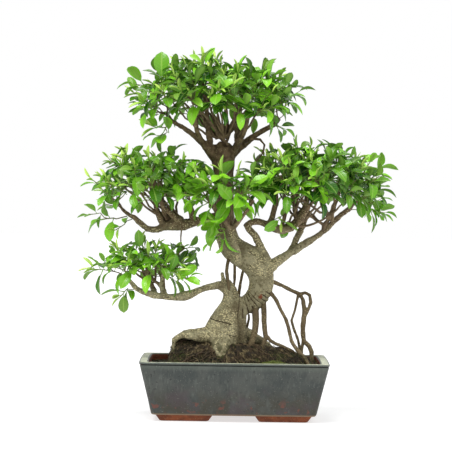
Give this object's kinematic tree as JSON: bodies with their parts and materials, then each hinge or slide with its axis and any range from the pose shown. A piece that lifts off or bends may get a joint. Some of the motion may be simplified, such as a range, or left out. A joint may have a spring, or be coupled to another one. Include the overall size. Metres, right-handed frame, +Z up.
{
  "type": "potted bonsai tree",
  "caption": "Fig bonsai with an S-curved trunk, aerial roots and separate pads of glossy leaves, planted in a rectangular glazed pot on four feet.",
  "frame": {"origin": "on the surface the pot stands on, under the middle of the pot", "axes": "+Z up; -Y towards the tree's front; +X to the right seen from the front, along the pot's long side"},
  "size_m": [0.4045, 0.19, 0.4877],
  "materials": {
    "glaze": "satin, mottled blue-grey glaze on a terracotta body",
    "screen_plastic": "matte black",
    "clip_wire": "bare annealed wire",
    "peat": "crumbly dark brown",
    "moss": "matte",
    "bark": "grey-tan bark, wrinkled and flecked",
    "leaf": "glossy leaves"
  },
  "bodies": {
    "root": {"pot": "glaze", "soil": "peat", "trunk": "bark", "bough_low_left": "bark", "bough_left": "bark", "bough_front": "bark", "bough_centre": "bark", "bough_right": "bark", "bough_crown_left": "bark", "bough_crown_right": "bark", "root_pillar_left": "bark", "root_pillar_right": "bark", "root_stilt": "bark", "root_outer": "bark", "root_thin_right": "bark", "root_in_eye": "bark", "root_left_of_eye": "bark", "root_behind_stub": "bark", "root_inner": "bark", "root_on_soil": "bark", "dead_stub": "bark", "hanging_shoot": "bark", "leaves_crown_left": "leaf", "leaves_crown_front_left": "leaf", "leaves_crown_front_right": "leaf", "leaves_crown_right": "leaf", "leaves_crown_back_right": "leaf", "leaves_crown_back_left": "leaf", "leaves_crown_top_left": "leaf", "leaves_crown_top_right": "leaf", "leaves_left_outer": "leaf", "leaves_left_front": "leaf", "leaves_left_back": "leaf", "leaves_left_top": "leaf", "leaves_left_inner": "leaf", "leaves_low_outer": "leaf", "leaves_low_inner": "leaf", "leaves_low_back": "leaf", "leaves_front_left": "leaf", "leaves_front_right": "leaf", "leaves_right_inner": "leaf", "leaves_right_front": "leaf", "leaves_right_back": "leaf", "leaves_right_top": "leaf", "leaves_right_outer": "leaf", "moss_front_left": "moss", "moss_front_right": "moss", "moss_back": "moss", "drainage_screen_left": "screen_plastic", "drainage_screen_right": "screen_plastic", "screen_clip_left": "clip_wire", "screen_clip_right": "clip_wire"}
  },
  "joints": []
}
